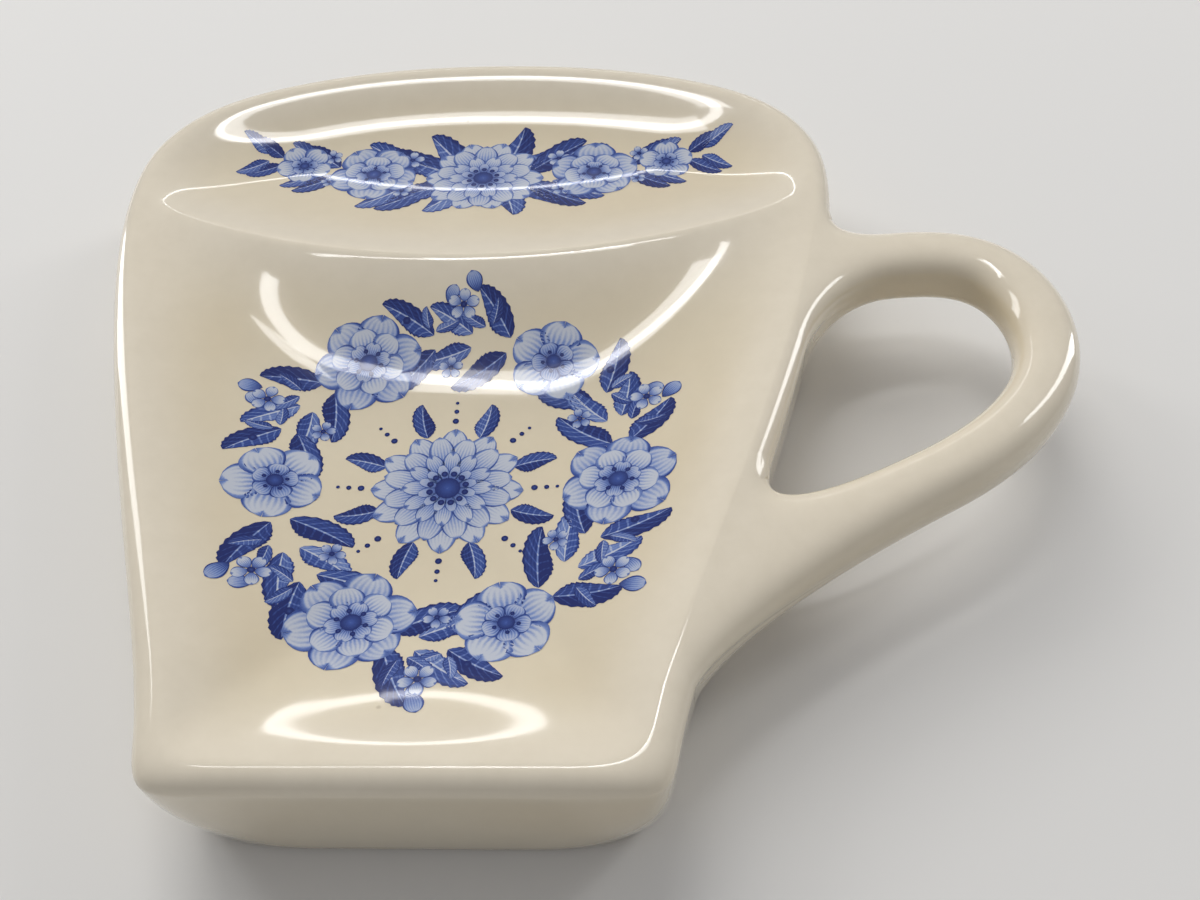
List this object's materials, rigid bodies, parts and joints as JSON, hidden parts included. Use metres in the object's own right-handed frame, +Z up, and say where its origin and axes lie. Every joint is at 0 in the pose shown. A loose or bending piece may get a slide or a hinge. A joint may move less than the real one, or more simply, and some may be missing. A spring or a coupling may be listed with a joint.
{
  "type": "tea bag rest",
  "caption": "Glazed earthenware tea bag rest in the outline of a teacup, with a sloping well, a dished mouth, a loop handle and blue printed flower sprays.",
  "frame": {"origin": "on the table plane that the foot ring rests on, below the middle of the whole part, loop handle included", "axes": "+Z up, +X towards the loop handle, +Y from the cup shape's base towards the back of its mouth"},
  "size_m": [0.1146, 0.107, 0.0162],
  "materials": {
    "ivory_glaze": "ivory earthenware under a clear high-gloss glaze",
    "dry_foot": "bare fired body, wiped clean of glaze, fine matt grain",
    "slip": "fired clay slip under the glaze",
    "blue_print": "cobalt blue transfer print sealed under a clear gloss glaze"
  },
  "bodies": {
    "root": {"dish": "ivory_glaze", "handle": "ivory_glaze", "upper_slip_joint": "slip", "lower_slip_joint": "slip", "well_print": "blue_print", "mouth_print": "blue_print"}
  },
  "joints": []
}
